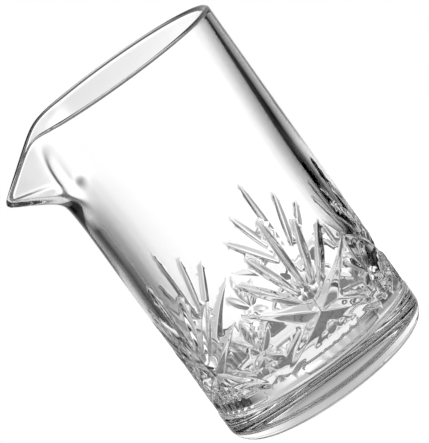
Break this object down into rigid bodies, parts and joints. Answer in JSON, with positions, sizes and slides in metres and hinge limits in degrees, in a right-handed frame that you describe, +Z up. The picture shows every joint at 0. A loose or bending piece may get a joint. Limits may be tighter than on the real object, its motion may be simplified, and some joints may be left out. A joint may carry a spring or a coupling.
{
  "type": "mixing glass",
  "caption": "Clear cylindrical bar mixing glass with a pouring spout, a heavy base and a moulded starburst cut pattern.",
  "frame": {"origin": "centre of the flat underside, on the axis of the round wall", "axes": "+Z up out of the mouth, -X towards the spout, Y across; mirror-symmetric about the XZ plane"},
  "size_m": [0.1087, 0.0908, 0.15],
  "materials": {
    "clear_glass": "fire-polished"
  },
  "bodies": {
    "root": {"mixing_glass": "clear_glass"}
  },
  "joints": []
}
